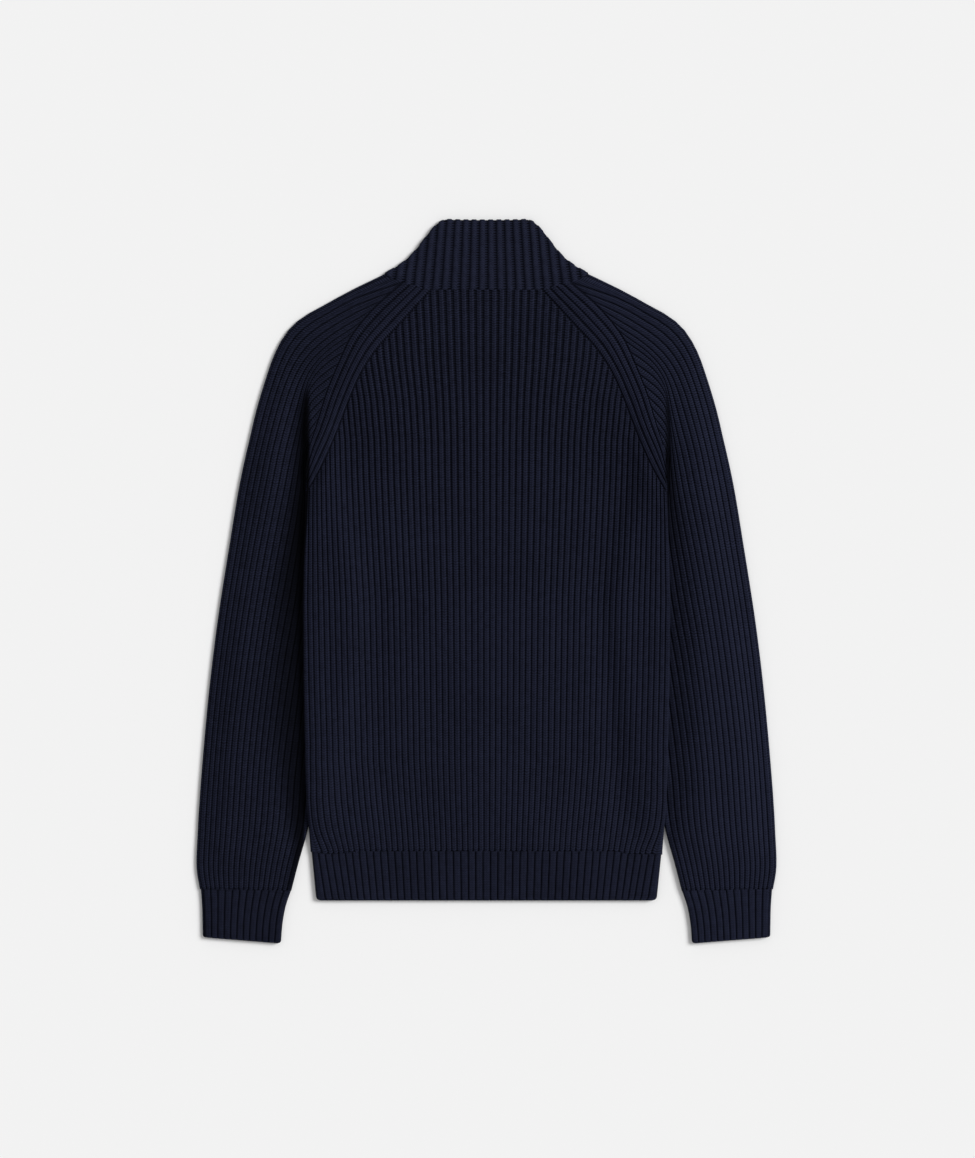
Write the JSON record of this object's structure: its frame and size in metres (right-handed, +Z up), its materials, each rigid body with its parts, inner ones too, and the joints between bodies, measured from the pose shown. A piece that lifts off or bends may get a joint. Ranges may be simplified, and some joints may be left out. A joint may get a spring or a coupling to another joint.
{
  "type": "ribbed cardigan",
  "caption": "Ribbed knit cardigan with raglan sleeves and a stand collar, laid flat face down with its back uppermost and its sleeves beside the body",
  "frame": {"origin": "centre of the laid outline, on the surface that the cardigan rests on", "axes": "+Z up through the back, +Y from the hem to the collar, +X from the centre line to the wearer's right sleeve as the back is seen"},
  "size_m": [0.6364, 0.7963, 0.0127],
  "materials": {
    "body_knit": "matt full-rib knit in dark navy wool yarn",
    "sleeve_knit": "matt full-rib knit in dark navy wool yarn",
    "collar_knit": "matt wide flat rib, dark navy, very slightly lighter than the body",
    "cuff_knit": "matt close flat rib, dark navy",
    "hem_knit": "matt close flat rib, dark navy"
  },
  "bodies": {
    "root": {"back": "body_knit", "collar_back": "collar_knit", "collar_end_left": "collar_knit", "collar_end_right": "collar_knit", "cuff_left": "cuff_knit", "cuff_right": "cuff_knit", "front_left": "body_knit", "front_right": "body_knit", "hem_back": "hem_knit", "hem_left": "hem_knit", "hem_right": "hem_knit", "sleeve_left": "sleeve_knit", "sleeve_right": "sleeve_knit"}
  },
  "joints": []
}
